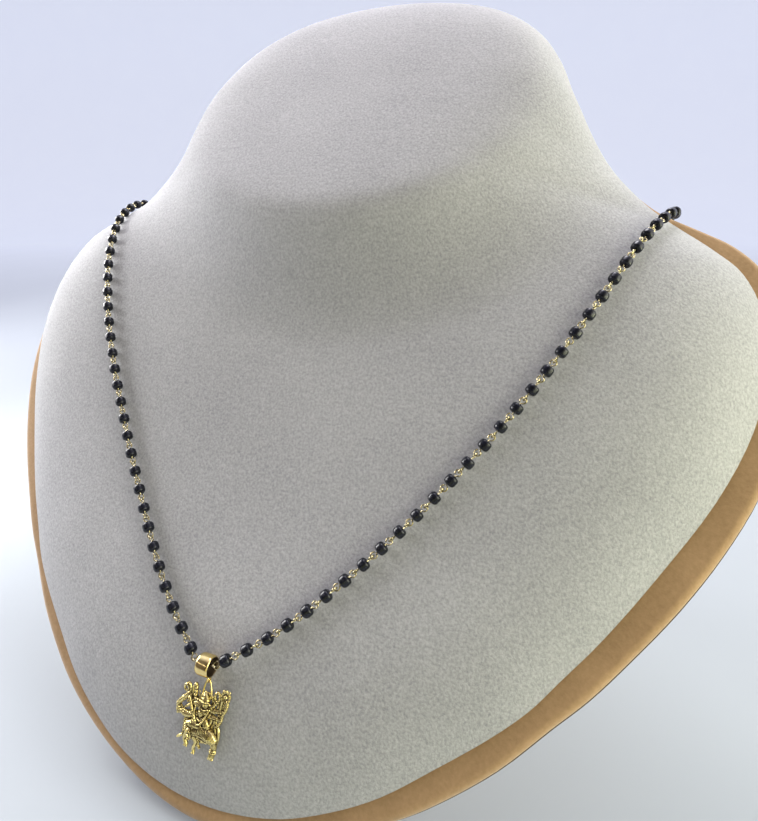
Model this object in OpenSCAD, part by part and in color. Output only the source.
// A mangalsutra, black glass beads on gold eye pins with a cast gold pendant,
// hanging on a padded neck bust that leans back on its board and easel leg.

/* [Board] */
// Width of the board behind the padded form
board_w = 201; // [190:1:215]
// Height of the board, measured along its slope
board_h = 210; // [200:1:225]
// Thickness of the board
board_t = 6; // [4:0.5:8]
// Radius of the board's padded edge
board_edge_r = 1.8; // [1:0.1:1.9]
// Lean of the board, back from upright, in degrees
lean = 39.5; // [34:0.5:42]
// Height of the flat that is cut under the board's foot
foot_cut = 1.2; // [0.8:0.1:2]

/* [Padded form] */
// Strip of the board that shows beside the form
lip = 3.1; // [2:0.1:5]
// Strip of the board that shows below the form
lip_below = 3.6; // [2:0.1:6]
// How far the form's neck rises past the top of the board
neck_over = 2; // [1:0.5:4]
// How far the form sits to the left on its board
form_shift = 1; // [0:0.1:1.5]
// Thickness of the form at the foot of the chest
chest_low_t = 11; // [9:0.1:13]
// Thickness of the form at the shoulders
chest_high_t = 16.2; // [14:0.1:18]
// Thickness of the form at the rim of the neck
neck_t = 30.3; // [26:0.1:34]
// Fall of the neck's face from its rim to its top
neck_fall = 8.5; // [5:0.1:11]
// Thickness of the form's turned edge
edge_t = 0.8; // [0.5:0.1:1.5]
// Gap between glued faces
glue_gap = 0.1; // [0.05:0.05:0.2]

/* [Easel leg] */
// Width of the leg
leg_w = 56; // [40:1:70]
// Thickness of the leg
leg_t = 4; // [3:0.5:6]
// How far up the board the leg is fixed
leg_up = 122; // [112:1:130]
// Angle of the leg from upright, in degrees
leg_angle = 21; // [17:0.5:23]

/* [Beads and eye pins] */
// Diameter of a glass bead
bead_d = 2.4; // [2.2:0.1:2.6]
// Length of a glass bead along the string
bead_l = 2.1; // [1.8:0.1:2.4]
// Radius of the ball that rounds the bead's ends
bead_round_r = 1.45; // [1.4:0.05:1.7]
// Diameter of the bead's hole
bead_bore = 0.7; // [0.6:0.05:0.9]
// Diameter of the gold wire
wire_d = 0.32; // [0.26:0.01:0.36]
// Diameter of the pin where it runs through a bead
shank_d = 0.28; // [0.22:0.01:0.32]
// Diameter of an eye, measured at the middle of its wire
eye_d = 1.3; // [1.2:0.05:1.5]
// Gap between a bead's face and its eye
eye_gap = 0.15; // [0.1:0.05:0.3]
// Gap between the wires of two linked eyes
link_gap = 0.3; // [0.2:0.05:0.35]
// Gap between the string and what it lies on
lie_gap = 0.15; // [0.1:0.05:0.3]
// Diameter of the clasp barrel
clasp_d = 3; // [2.4:0.1:4]

/* [Bail] */
// Outer diameter of the bail band
bail_d = 4.2; // [4:0.1:5]
// Wall of the bail band
bail_wall = 0.35; // [0.25:0.05:0.5]
// Width of the bail band along the string
bail_w = 2.9; // [2.4:0.1:3.3]
// How far the bail has slid to the right of the middle bead
bail_slide = 0.5; // [0:0.1:0.8]
// How far the bail hangs below the middle bead's own middle
bail_drop = 0.35; // [0.1:0.05:0.4]
// Diameter of the small ring under the bail, at the middle of its wire
bail_ring_d = 1.02; // [0.96:0.02:1.1]
// Diameter of that ring's wire
bail_ring_wire = 0.3; // [0.24:0.02:0.32]

/* [Pendant] */
// Height of the cast figure with its loop
figure_h = 14.4; // [12:0.1:15.5]
// How full the figure's limbs are
fullness = 1.28; // [1.1:0.02:1.4]
// How far the loop hangs to the right of the bail's middle
loop_slide = 1; // [0:0.1:1.1]
// Lean of the hanging figure, back from upright, in degrees
figure_lean = 21.5; // [19:0.5:24]
// Diameter of the wire at the top of the figure's loop
loop_wire = 0.34; // [0.3:0.02:0.36]
// Depth of the flat back behind the middle of the loop's wire
figure_back = 0.5; // [0.4:0.05:0.6]

/* [Hidden] */

GOLD = [0.86, 0.68, 0.3];
CUT = 400;

// Outline of the board from its foot to its top. Columns: half width as a share
// of half of board_w, height as a share of board_h.
BOARD_OUTLINE = [
    [0, 0], [0.1, 0.005], [0.2, 0.018], [0.3, 0.037], [0.39, 0.06], [0.467, 0.086], [0.56, 0.125],
    [0.642, 0.169], [0.7, 0.2], [0.76, 0.238], [0.833, 0.288], [0.9, 0.343], [0.956, 0.402],
    [0.988, 0.462], [1, 0.528], [0.99, 0.59], [0.954, 0.633], [0.9, 0.661], [0.836, 0.679],
    [0.757, 0.699], [0.707, 0.718], [0.642, 0.751], [0.573, 0.798], [0.518, 0.848],
    [0.484, 0.89], [0.433, 0.929], [0.358, 0.96], [0.26, 0.981], [0.13, 0.995], [0, 1]
];

// Outline of the padded form from its foot to its top. Columns: half width as a share
// of half of the form's width, height as a share of the form's height.
FORM_OUTLINE = [
    [0, 0], [0.103, 0.004], [0.205, 0.016], [0.3, 0.036], [0.388, 0.061], [0.476, 0.095], [0.564, 0.131],
    [0.629, 0.162], [0.68, 0.194], [0.744, 0.235], [0.825, 0.295], [0.917, 0.371], [0.977, 0.443],
    [1, 0.511], [0.988, 0.568], [0.95, 0.611], [0.892, 0.638], [0.826, 0.662], [0.769, 0.683],
    [0.721, 0.705], [0.65, 0.743], [0.591, 0.789], [0.544, 0.837], [0.509, 0.88], [0.456, 0.923],
    [0.379, 0.957], [0.277, 0.981], [0.144, 0.995], [0, 1]
];

// How the edge of the form turns down to the board. Columns: share of the form's
// height, how late the surface starts to fall, how upright it ends.
EDGE_TURN = [[0, 7, 1], [0.66, 7, 1], [0.72, 9, 1.3], [0.8, 13, 2], [1, 13, 2]];

// Where the string runs on the front, from its first joint to the shoulder. Columns:
// across as a share of half of the form's width, up as a share of the form's height.
STRING_FRONT = [
    [0.0554, 0.1377], [0.1129, 0.1593], [0.1848, 0.1934], [0.2515, 0.2298], [0.3131, 0.2663],
    [0.3747, 0.3047], [0.4312, 0.3431], [0.4846, 0.3805], [0.5339, 0.4184], [0.5801, 0.4573],
    [0.6222, 0.4966], [0.6612, 0.5355], [0.6951, 0.5729], [0.7259, 0.607], [0.7505, 0.6334],
    [0.768, 0.6516]
];

// Where the string goes over the shoulder and behind the neck. Columns: across and up
// as above, height in front of the board as a share of chest_high_t, depth behind the
// board's face as a share of board_t.
STRING_BACK = [
    [0.7823, 0.6665, 0.383, 0], [0.7947, 0.6809, 0.16, 0], [0.8018, 0.6929, 0, 0.25],
    [0.7926, 0.7006, 0, 0.933], [0.7649, 0.703, 0, 1.45], [0.7187, 0.7011, 0, 1.7],
    [0.6366, 0.6977, 0, 1.817], [0.4928, 0.6915, 0, 1.883], [0.3285, 0.6867, 0, 1.917],
    [0.1643, 0.6838, 0, 1.933], [0, 0.6833, 0, 1.933]
];

// Height of the middle bead as a share of the form's height
STRING_LOW = 0.1262;

// How far to each side the bail lifts the string off the form
BAIL_LIFT_REACH = 16;

// The clasp takes the place of the links within this distance of the middle
CLASP_REACH = 5;

// Height of the hub, which the rings of the form and of the board run round
HUB_SHARE = 0.476;

// Sizes that follow from the ones above
form_w = board_w - 2 * lip;
form_h = board_h - lip_below + neck_over;
hub_up = HUB_SHARE * board_h;
bead_r = bead_d / 2;
wire_r = wire_d / 2;
eye_r = eye_d / 2;
eye_at = bead_l / 2 + eye_gap + wire_r + eye_r;
link_half = (eye_d - wire_d - link_gap) / 2;
pitch = 2 * (eye_at + link_half);
lie_h = bead_r + lie_gap;
bail_r = bail_d / 2;

// The neck of the form: an oval whose soft rim is the highest line of the form
neck_rx = 0.492 * form_w / 2;
neck_ry = 0.206 * form_h;
neck_up = lip_below + 0.784 * form_h;
neck_flare = 0.62;
neck_crown = 2;
rim_soft = 0.1;

// Where the chest begins to thicken and over how much of the form's height it does
CHEST_RISE = [0.22, 0.33];

// Rings of the form's skin, and points on a skin for each row of its outline
FORM_RINGS = 27;
POINTS_PER_ROW = 2;

function smooth(t) = let (c = min(max(t, 0), 1)) c * c * (3 - 2 * c);
function unit(v) = v / norm(v);
function flat_of(v, t) = unit(v - (v * t) * t);

// A smooth curve through all points of a list, ends included
function blend(a, b, c, d, t) =
    0.5 * (2 * b + (c - a) * t + (2 * a - 5 * b + 4 * c - d) * t * t + (3 * b - a - 3 * c + d) * t * t * t);
function curve(points, first, last, steps) =
    let (all = concat([first], points, [last]), n = len(points))
    concat([
        for (i = [1 : n - 1], k = [0 : steps - 1]) blend(all[i - 1], all[i], all[i + 1], all[i + 2], k / steps)
    ], [points[n - 1]]);

// Half an outline in mm, smoothed, from the foot to the top on the right side
function half_outline(table, w, h, foot) =
    let (p = [for (row = table) [row[0] * w / 2, foot + row[1] * h]], n = len(p))
    curve(p, [-p[1][0], p[1][1]], [-p[n - 2][0], p[n - 2][1]], POINTS_PER_ROW);
function whole_outline(half) =
    let (n = len(half)) concat(half, [for (i = [n - 2 : -1 : 1]) [-half[i][0], half[i][1]]]);

FORM_HALF = half_outline(FORM_OUTLINE, form_w, form_h, lip_below);
FORM_REACH = [for (p = FORM_HALF) [atan2(p[1] - hub_up, p[0]), norm(p - [0, hub_up])]];

// Share of the way from the hub to the form's edge at a place on the board
function form_share(x, y) = norm([x, y - hub_up]) / lookup(atan2(y - hub_up, abs(x)), FORM_REACH);

// Height of the form's front above the board at x across and y up, where s is the
// share of the way to its edge
function form_height(x, y, s) =
    let (
        up = (y - lip_below) / form_h,
        chest = chest_low_t + (chest_high_t - chest_low_t) * smooth((up - CHEST_RISE[0]) / CHEST_RISE[1]),
        ring = norm([x / neck_rx, (y - neck_up) / neck_ry]),
        rise = pow(max((1 + neck_flare - ring) / neck_flare, 0), 1.8),
        rim = 0.5 * (rise + 1 - sqrt((rise - 1) * (rise - 1) + 4 * rim_soft * rim_soft))
            + 0.5 * (sqrt(1 + 4 * rim_soft * rim_soft) - 1),
        fall = neck_fall * (y - neck_up + neck_ry) / (2 * neck_ry),
        face = neck_t - fall - neck_crown * pow(x / neck_rx, 2),
        body = chest + (face - chest) * rim,
        late = lookup(up, [for (row = EDGE_TURN) [row[0], row[1]]]),
        upright = lookup(up, [for (row = EDGE_TURN) [row[0], row[2]]]),
        turn = pow(max(1 - pow(min(s, 1), late), 0), 1 / upright)
    )
    edge_t + (body - edge_t) * turn;
function form_top(x, y) = max([
    for (q = [x, -x]) form_height(q + form_shift, y, form_share(q + form_shift, y))
]);

// Steps of the board's edge from its front face to its back. Columns: inset, height.
BOARD_EDGE = concat(
    [for (a = [0 : 30 : 90]) [board_edge_r * (1 - sin(a)), -board_edge_r * (1 - cos(a))]],
    [[0, -board_t]]
);

// Places what is modelled flat on the board's face into the upright frame
function world_y(up, h) = up * sin(lean) - h * cos(lean);
function world_z(up, h) = up * cos(lean) + h * sin(lean);
floor_z = world_z(0, -board_t) + foot_cut;
front_y = min([for (r = BOARD_EDGE) world_y(r[0], r[1])]);
rear_y = world_y(board_h, -board_t);
mid_y = (front_y + rear_y) / 2;

module on_board() {
    translate([0, -mid_y, -floor_z]) rotate([90 - lean, 0, 0]) children();
}

// A closed skin over a stack of rings with the same number of points, the first
// ring on top and the last one below
function stack_faces(rings, n) = concat(
    [for (i = [0 : rings - 2], j = [0 : n - 1], half = [0, 1])
        let (a = i * n + j, b = i * n + (j + 1) % n)
        half == 0 ? [a, b + n, a + n] : [a, b, b + n]],
    [for (j = [0 : n - 1]) [rings * n, (j + 1) % n, j]],
    [for (j = [0 : n - 1]) let (a = (rings - 1) * n) [rings * n + 1, a + j, a + (j + 1) % n]]
);

module padded_form() {
    outline = whole_outline(FORM_HALF);
    n = len(outline);
    hub = [0, hub_up];
    shares = [for (i = [1 : FORM_RINGS]) sin(90 * i / FORM_RINGS)];
    top = [for (s = shares, p = outline)
        let (q = hub + s * (p - hub)) [q[0] - form_shift, q[1], form_height(q[0], q[1], s)]];
    base = [for (p = outline) [p[0] - form_shift, p[1], glue_gap]];
    ends = [[-form_shift, hub_up, form_height(0, hub_up, 0)], [-form_shift, hub_up, glue_gap]];
    color([0.72, 0.72, 0.71])
        on_board() polyhedron(concat(top, base, ends), stack_faces(FORM_RINGS + 1, n));
}

module back_board() {
    outline = whole_outline(half_outline(BOARD_OUTLINE, board_w, board_h, 0));
    n = len(outline);
    hub = [0, hub_up];
    skin = [for (r = BOARD_EDGE, p = outline) let (q = p - r[0] * unit(p - hub)) [q[0], q[1], r[1]]];
    ends = [[0, hub_up, 0], [0, hub_up, -board_t]];
    color([0.76, 0.56, 0.36]) difference() {
        on_board() polyhedron(concat(skin, ends), stack_faces(len(BOARD_EDGE), n));
        translate([-CUT / 2, -CUT / 2, -CUT]) cube(CUT);
    }
}

module easel_leg() {
    foot_y = world_y(leg_up, -board_t) - mid_y;
    top_z = world_z(leg_up, -board_t) - floor_z;
    reach = top_z / cos(leg_angle);
    spare = 0.2 * reach;
    color([0.66, 0.47, 0.29]) difference() {
        translate([0, foot_y, top_z]) rotate([leg_angle, 0, 0])
            translate([-leg_w / 2, 0, -reach - spare]) cube([leg_w, leg_t, reach + 2 * spare]);
        on_board() translate([-CUT / 2, -CUT / 2, -board_t - glue_gap]) cube(CUT);
        translate([-CUT / 2, -CUT / 2, -CUT]) cube(CUT);
    }
}

// The string: a chain of straight links, each a bead on its eye pin, whose joints lie
// on one smooth curve

// How far the bail lifts the string off the form
function lift(x) = (bail_r + 2 * lie_gap - lie_h) * pow(max(1 - abs(x) / BAIL_LIFT_REACH, 0), 2);
STRING_START = [pitch / 2, lip_below + STRING_LOW * form_h];
function on_bust(row) = [row[0] * form_w / 2, lip_below + row[1] * form_h];
FRONT_POINTS = concat([STRING_START], [for (row = STRING_FRONT) on_bust(row)]);
BACK_POINTS = [
    for (row = STRING_BACK) let (p = on_bust(row)) [p[0], p[1], row[2] * chest_high_t - row[3] * board_t]
];
BEYOND_BACK = let (p = BACK_POINTS[len(BACK_POINTS) - 2]) [-p[0], p[1], p[2]];
FRONT_STEPS = 6;
BACK_STEPS = 8;
SLOPE_STEP = 0.5;
function slope(x, y) = norm([
    form_top(x + SLOPE_STEP, y) - form_top(x - SLOPE_STEP, y),
    form_top(x, y + SLOPE_STEP) - form_top(x, y - SLOPE_STEP)
]) / (2 * SLOPE_STEP);
function on_form(p) = [p[0], p[1], form_top(p[0], p[1]) + lie_h * norm([1, slope(p[0], p[1])]) + lift(p[0])];
MIDDLE = on_form([0, STRING_START[1]]);
BEFORE_FRONT = [-pitch / 2, STRING_START[1]];
BEYOND_FRONT = [BACK_POINTS[0][0], BACK_POINTS[0][1]];
FRONT_RUN = [for (p = curve(FRONT_POINTS, BEFORE_FRONT, BEYOND_FRONT, FRONT_STEPS)) on_form(p)];
FRONT_END = len(FRONT_RUN) - 1;
BEFORE_BACK = FRONT_RUN[FRONT_END - FRONT_STEPS];
BACK_RUN = curve(concat([FRONT_RUN[FRONT_END]], BACK_POINTS), BEFORE_BACK, BEYOND_BACK, BACK_STEPS);
RUN = concat(FRONT_RUN, [for (i = [1 : len(BACK_RUN) - 1]) BACK_RUN[i]]);

function first_far(i, p) = i >= len(RUN) ? -1 : norm(RUN[i] - p) >= pitch ? i : first_far(i + 1, p);
function next_joint(i, p) =
    let (near = norm(RUN[i - 1] - p), far = norm(RUN[i] - p), t = (pitch - near) / (far - near))
    RUN[i - 1] + t * (RUN[i] - RUN[i - 1]);
function walk(i, joints) =
    let (p = joints[len(joints) - 1], k = first_far(i, p))
    k < 0 ? joints
    : let (q = next_joint(k, p)) q[2] < 0 && q[0] < CLASP_REACH ? joints : walk(k, concat(joints, [q]));
JOINTS = walk(1, [[STRING_START[0], STRING_START[1], MIDDLE[2]]]);
LINKS = len(JOINTS) - 1;

// Direction of the middle link, of each link on the right and of the clasp, and a
// crosswise direction for each that is carried along the string without twist.
// Every second link is turned a quarter round, as its eye hooks through its neighbour's.
AIM = concat([[1, 0, 0]], [for (i = [1 : LINKS]) unit(JOINTS[i] - JOINTS[i - 1])], [[-1, 0, 0]]);
function carry(i, side) = i >= len(AIM) ? side : carry(i + 1, concat(side, [flat_of(side[i - 1], AIM[i])]));
CARRIED = carry(1, [[0, 0, 1]]);
SIDE = [for (i = [0 : LINKS + 1]) i % 2 == 0 ? CARRIED[i] : cross(AIM[i], CARRIED[i])];

module along(p, t, s) {
    c = cross(t, s);
    multmatrix([
        [s[0], c[0], t[0], p[0]],
        [s[1], c[1], t[1], p[1]],
        [s[2], c[2], t[2], p[2]],
        [0, 0, 0, 1]
    ]) children();
}

// Puts its children on every link of both sides and on the middle link
module on_each_link() {
    on_board() {
        along(MIDDLE, AIM[0], SIDE[0]) children();
        for (half = [0, 1], i = [1 : LINKS])
            mirror([half, 0, 0]) along((JOINTS[i - 1] + JOINTS[i]) / 2, AIM[i], SIDE[i]) children();
    }
}

module beads() {
    color([0.07, 0.08, 0.11]) on_each_link() difference() {
        intersection() {
            sphere(r = bead_round_r, $fn = 32);
            cylinder(d = bead_d, h = bead_l, center = true, $fn = 32);
        }
        cylinder(d = bead_bore, h = 2 * bead_l, center = true, $fn = 24);
    }
}

module wire_ring(r, wire) {
    rotate_extrude($fn = 32) translate([r, 0]) circle(r = wire, $fn = 16);
}

// An eye in the plane of the string and the link's side direction, its middle at z
module eye(z) {
    translate([0, 0, z]) rotate([90, 0, 0]) wire_ring(eye_r, wire_r);
}

module eye_pins() {
    shank_l = 2 * (eye_at - eye_r);
    color(GOLD) on_each_link() union() {
        eye(eye_at);
        eye(-eye_at);
        cylinder(d = shank_d, h = shank_l, center = true, $fn = 24);
    }
}

module clasp() {
    last = JOINTS[LINKS];
    eye_x = last[0] - link_half;
    barrel_l = 2 * (eye_x - eye_r - wire_r - eye_gap);
    color(GOLD) on_board() along([0, last[1], last[2]], AIM[LINKS + 1], SIDE[LINKS + 1]) union() {
        eye(eye_x);
        eye(-eye_x);
        cylinder(d = clasp_d, h = barrel_l, center = true, $fn = 32);
        cylinder(d = shank_d, h = 2 * (eye_x - eye_r), center = true, $fn = 24);
    }
}

// The bail: a plain band round the middle bead, with a small ring under it
module at_bail() {
    on_board() translate([bail_slide, MIDDLE[1], MIDDLE[2]])
        rotate([lean - figure_lean, 0, 0]) translate([0, -bail_drop, 0]) children();
}

bail_ring_at = bail_r - bail_ring_wire / 3 + bail_ring_d / 2;

module bail() {
    color(GOLD) at_bail() union() {
        rotate([0, 90, 0]) difference() {
            cylinder(d = bail_d, h = bail_w, center = true, $fn = 48);
            cylinder(r = bail_r - bail_wall, h = 2 * bail_w, center = true, $fn = 48);
        }
        translate([loop_slide, -bail_ring_at, 0]) rotate([0, 90, 0])
            wire_ring(bail_ring_d / 2, bail_ring_wire / 2);
    }
}

// The pendant: a many-armed goddess riding a lion, cast in one piece with its loop.
// A limb is a list of rows. Columns: across, down, out and radius, all in hundredths
// of figure_h, from the top of the loop. The loop's radius is in halves of loop_wire.
LOOP = [
    [-5, 21, 2.6, 1.4], [-4.8, 12, 1.2, 1.25], [-3.4, 3.6, 0.2, 1.05], [-1.8, 0.6, 0, 1], [0, 0, 0, 1],
    [1.8, 0.6, 0, 1], [3.8, 4, 0.2, 1.05], [6.4, 10.4, 1, 1.25], [8.4, 17, 2, 1.4], [7, 23, 3.4, 1.65]
];

// The goddess: crown, face, body, shoulders, and a leg folded to each side
CROWN = [[1, 16.6, 3.4, 2.2], [2.4, 20.4, 4.6, 3.4], [3.8, 24.6, 5.2, 4.8]];
FACE = [[4.4, 27.4, 6.4, 4.4], [5.4, 31.6, 5.8, 3.2]];
TORSO = [[4.6, 35, 4.6, 4], [0, 39.4, 5.2, 4.8], [0.4, 45.4, 5, 4], [1, 51, 5.2, 4.4], [-3, 57, 5.6, 5]];
SHOULDERS = [
    [-14, 33, 3.8, 3], [-7, 31.6, 4.4, 3.8], [1, 33, 4.8, 3.8], [9, 33.4, 4.2, 3.4], [13.4, 33.4, 3.6, 2.8]
];
LEFT_LEG = [[-3, 57, 6, 4.8], [-12, 58.4, 7, 4.4], [-18, 61.6, 6.6, 3.4], [-17, 68, 6, 2.6]];
RIGHT_LEG = [[4, 49, 6, 4], [9.4, 53, 6.6, 3.8], [10.6, 60, 6.4, 4], [3, 64, 8.6, 3], [-4, 66, 9.4, 2.2]];

// The lion: body, head, hind leg, far leg, two front legs, a toe and the tail
LION_BODY = [
    [-12, 67, 4.6, 6.6], [-2, 66, 4.6, 6.4], [8, 65.6, 5, 7], [17, 67, 5.4, 7.2], [22.4, 70.6, 5.4, 5.6]
];
LION_HEAD = [[-12.6, 67.4, 9.4, 5], [-11.4, 73, 10.8, 3]];
HIND_LEG = [[22.8, 72, 5.6, 4.8], [25.2, 79.6, 4.6, 3.2], [24, 86.4, 4, 3.6], [23, 92, 4.6, 3.6]];
FAR_LEG = [[12, 73, 3.4, 4.2], [5, 78, 3, 3], [-3, 76, 3.6, 2.6]];
FRONT_LEG = [[-18, 73, 5, 4.2], [-22, 81.6, 4.4, 2.7], [-18.6, 89.4, 4.4, 2.3]];
NEAR_LEG = [[-7, 74, 5.4, 3.8], [-3.2, 82, 4.8, 2.4], [-6, 90, 4.6, 2], [-5.2, 95.6, 5, 1.9]];
TOE = [[-3.2, 82, 4.6, 1.8], [2.4, 87.4, 4.4, 1.6]];
TAIL = [[24, 52, 2.8, 1.7], [27.8, 59, 2.8, 1.8], [28.4, 68, 3, 1.8], [26.4, 76.6, 3.6, 2]];

// Arms on the left: raised to the point, down to the conch, inner and low arm
ARM_RAISED = [[-13, 33.4, 3.8, 2.8], [-19.6, 28.4, 3, 2.5], [-25, 24.4, 2.6, 2.8]];
ARM_CONCH = [[-25, 24.4, 2.6, 2.8], [-32, 32, 2.6, 2.9], [-39, 39.6, 2.6, 2.9], [-41.6, 45, 2.4, 2.2]];
ARM_INNER = [[-25, 24.4, 3, 2.4], [-18, 34, 4, 2.6], [-14, 44, 5, 2.8]];
ARM_LOW = [[-6, 44, 5.4, 3.4], [-14, 48, 5, 3.4], [-24, 50.6, 4, 3.9], [-33.6, 50, 3, 3]];

// Arms on the right: to the hand loop, to the lotus, and the low arm with its strut
ARM_LOOP = [[9, 33, 4, 3], [14.4, 29.6, 3.2, 2.3], [19.6, 23, 2.4, 1.9]];
ARM_LOTUS = [[11, 34, 4.2, 2.8], [17, 35, 3.6, 2.4], [24, 33.8, 3, 2.2], [31.6, 32.6, 2.6, 2]];
ARM_DOWN = [[6, 38, 4.6, 3.2], [12, 42.8, 4, 2.4], [20, 43.4, 3.4, 2.2], [29.4, 43.4, 3, 2]];
STRUT = [[15.8, 43, 3.6, 1.9], [15.2, 49, 4.4, 1.8], [12.4, 54, 5, 2.2]];
STRUT_OUTER = [[21, 44, 3.2, 1.8], [20.8, 51, 3.4, 1.8], [23.4, 58, 3.6, 1.9], [23, 65, 4, 2.2]];

// What the arms hold on the left
SABRE = [[-25, 26, 2.6, 2], [-24.4, 19.4, 2, 1.7], [-26.6, 13, 2, 1.5], [-29.6, 11.4, 2, 1.2]];
STAFF = [[-13.4, 32, 3.4, 2.4], [-15, 23, 2.6, 2], [-15.4, 16, 2, 1.9], [-17, 10, 2, 2]];
FLAME = [[-17, 30, 3, 2], [-19.4, 22, 2.4, 1.7], [-20.4, 15, 2, 1.5], [-17, 10, 2, 1.5]];
TRIDENT = [[-22, 28, 6, 1.8], [-14, 40, 8.4, 1.6], [-7, 50, 10, 1.5], [-2.4, 56, 10.4, 1.4]];

// The beaded stem on the right, and the post with its leaf on the left
STEM = [
    [35.4, 18, 2.4, 1.7], [35.6, 25, 2.4, 1.7], [33.4, 31.6, 2.6, 1.7], [30.6, 37, 2.6, 1.7],
    [29.8, 44, 2.8, 1.7], [27, 50, 3, 1.7], [24, 53, 3, 1.7]
];
POST = [[-26, 52, 2.8, 2], [-26.6, 61, 2.6, 1.7], [-26.6, 71, 2.6, 1.7], [-26, 80, 2.8, 2]];
LEAF = [[-26, 80, 2.8, 2], [-31, 83, 2.6, 1.8], [-35.4, 86, 2.4, 1.4]];

// Rings of the figure. Columns: across, down, out, half width, half height, radius
// of the wire, all in hundredths of figure_h.
FIGURE_RINGS = [
    [-31.4, 18.6, 2, 3.4, 3.8, 1.5],
    [-37.6, 49, 2.4, 3.8, 4, 1.9],
    [18.6, 17, 2, 3.6, 5.8, 1.6],
    [31.6, 12.6, 2, 5.4, 6, 1.7]
];

// Rows of small knobs. Columns: across and down of the first knob, across and down of
// the last one, out, radius, number of knobs.
KNOB_ROWS = [
    [31.6, 12.6, 31.6, 12.6, 2.4, 3, 1],
    [27.6, 6, 36.6, 6, 2, 1.8, 3],
    [36, 20, 33.6, 31.6, 2.8, 2.4, 4],
    [29.8, 39, 29, 47, 3, 2.3, 3],
    [-28, 23.6, -28, 23.6, 2.4, 2, 1],
    [-11, 27, -5, 27.6, 4, 2.8, 2],
    [-9, 36, -3, 44, 7.6, 2.4, 3],
    [7, 38, 0, 46, 8, 2.2, 3],
    [-40.4, 54.6, -40.4, 54.6, 2.6, 2, 1],
    [-21.4, 57, -21, 80, 3.4, 3, 7],
    [-14, 77, -4, 77, 6, 2.6, 3],
    [-18, 92, -18, 92, 4.6, 2, 1]
];

// The lion's mane: knobs round its face. Columns: out, radius of the round, radius of
// a knob, number of knobs.
MANE = [7.4, 7, 2.5, 9];

// Folds of the skirt, thin ridges that fan out over the leg: the first fold, and how
// far each further one is moved across and down at each of its points
FOLD = [[-16, 65, 10.4, 1], [-9, 58.6, 11, 1], [-4, 55, 10, 1]];
FOLD_STEP = [[3.4, -0.8], [2.8, 0], [1.8, 0]];
FOLDS = 5;

// The spokes of the wheel
SPOKES = [[[26.4, 12.6, 2, 1.2], [36.8, 12.6, 2, 1.2]], [[31.6, 6.8, 2, 1.2], [31.6, 18.4, 2, 1.2]]];

module limb(rows, sides, full = fullness) {
    u = figure_h / 100;
    for (i = [0 : len(rows) - 2]) hull() for (r = [rows[i], rows[i + 1]])
        translate([r[0], -r[1], r[2]] * u) sphere(r = r[3] * full * u, $fn = sides);
}

module knob(across, down, out, r) {
    u = figure_h / 100;
    translate([across, -down, out] * u) sphere(r = r * u, $fn = 6);
}

module oval_ring(row, steps = 8) {
    limb([
        for (k = [0 : steps]) let (a = 360 * k / steps)
            [row[0] + row[3] * cos(a), row[1] + row[4] * sin(a), row[2], row[5]]
    ], 5);
}

module figure() {
    limb(LOOP, 5, 50 * loop_wire / figure_h);
    for (wire = [SABRE, STAFF, FLAME, TRIDENT, STEM, POST, LEAF, TAIL, STRUT, STRUT_OUTER, TOE]) limb(wire, 5);
    for (arm = [ARM_RAISED, ARM_CONCH, ARM_INNER, ARM_LOW, ARM_LOOP, ARM_LOTUS, ARM_DOWN]) limb(arm, 6);
    for (leg = [HIND_LEG, FAR_LEG, FRONT_LEG, NEAR_LEG, LEFT_LEG, RIGHT_LEG]) limb(leg, 7);
    for (body = [CROWN, FACE, TORSO, SHOULDERS, LION_BODY, LION_HEAD]) limb(body, 8);
    for (ring = FIGURE_RINGS) oval_ring(ring);
    for (spoke = SPOKES) limb(spoke, 5);
    for (row = KNOB_ROWS, k = [0 : row[6] - 1]) let (t = k / max(row[6] - 1, 1))
        knob(row[0] + t * (row[2] - row[0]), row[1] + t * (row[3] - row[1]), row[4], row[5]);
    for (k = [1 : MANE[3]]) let (a = 360 * k / MANE[3])
        knob(LION_HEAD[0][0] + MANE[1] * cos(a), LION_HEAD[0][1] + MANE[1] * sin(a), MANE[0], MANE[2]);
    for (k = [0 : FOLDS - 1]) limb([
        for (i = [0 : len(FOLD) - 1]) FOLD[i] + k * [FOLD_STEP[i][0], FOLD_STEP[i][1], 0, 0]
    ], 5);
}

module pendant() {
    loop_at = bail_ring_at + bail_ring_d / 2 - bail_ring_wire / 2 - link_gap / 2 - loop_wire / 2;
    color(GOLD) at_bail() translate([loop_slide, -loop_at, 0]) difference() {
        figure();
        translate([-CUT / 2, -CUT / 2, -CUT - figure_back]) cube(CUT);
    }
}

padded_form();
back_board();
easel_leg();
beads();
eye_pins();
clasp();
bail();
pendant();
